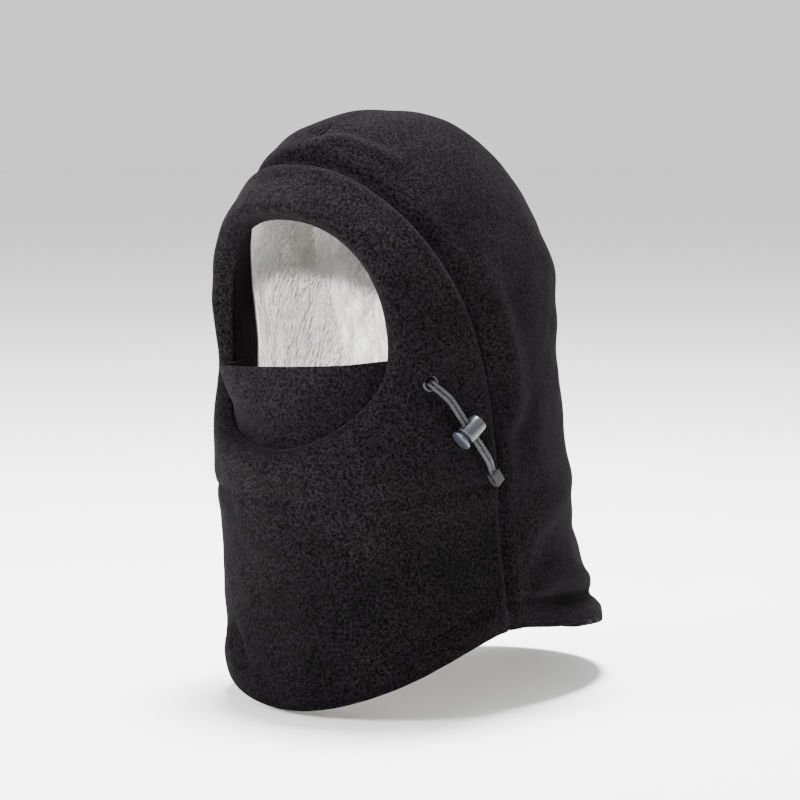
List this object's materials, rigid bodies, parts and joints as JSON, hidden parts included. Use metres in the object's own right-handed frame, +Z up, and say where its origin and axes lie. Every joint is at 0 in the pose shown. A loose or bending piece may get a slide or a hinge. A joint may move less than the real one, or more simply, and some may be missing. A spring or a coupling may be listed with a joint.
{
  "type": "balaclava",
  "caption": "Fleece balaclava with sherpa lining, a round drawn face opening, a pull-down lower face mask and an elastic drawcord with a sprung cord lock.",
  "frame": {"origin": "inside the crown of the lining, where the top of the wearer's head touches it", "axes": "+Z up, the face opening looks along -Y, the wearer's left (the cord lock's side) is +X"},
  "size_m": [0.1903, 0.2617, 0.3415],
  "materials": {
    "outer_fleece": "charcoal microfleece with a short speckled pile",
    "inner_fleece": "black fleece facing",
    "sherpa_lining": "off-white sherpa plush",
    "elastic_cord": "grey braided elastic",
    "dark_metal": "gunmetal plated",
    "tab_tape": "dark woven tape",
    "lock_plastic": "satin near-black plastic",
    "spring_steel": "bright spring wire"
  },
  "bodies": {
    "hood": {"front_panel": "outer_fleece", "back_panel_left": "outer_fleece", "back_panel_right": "outer_fleece", "opening_facing": "inner_fleece", "hem_facing": "inner_fleece", "lining_left": "sherpa_lining", "lining_right": "sherpa_lining", "drawcord": "elastic_cord", "eyelet": "dark_metal", "eyelet_washer": "dark_metal", "cord_tab": "tab_tape"},
    "mask": {"face_mask": "outer_fleece"},
    "cord_lock": {"lock_body": "lock_plastic", "lock_spring": "spring_steel"},
    "lock_push_button": {"lock_button": "lock_plastic"}
  },
  "joints": [
    {"name": "mask_pull", "type": "slide", "parent": "hood", "child": "mask", "axis": [0, 0, -1], "range_m": [0, 0.045], "deforming": ["face_mask"]},
    {"name": "lock_slide", "type": "slide", "parent": "hood", "child": "cord_lock", "axis": [0.0456, 0.6288, -0.7763], "range_m": [-0.012, 0.014]},
    {"name": "lock_press", "type": "slide", "parent": "cord_lock", "child": "lock_push_button", "axis": [0.1441, 0.7648, 0.628], "range_m": [0, 0.0018], "stiffness_N_per_m": 800, "springref_m": -0.0015, "deforming": ["lock_spring"]}
  ]
}
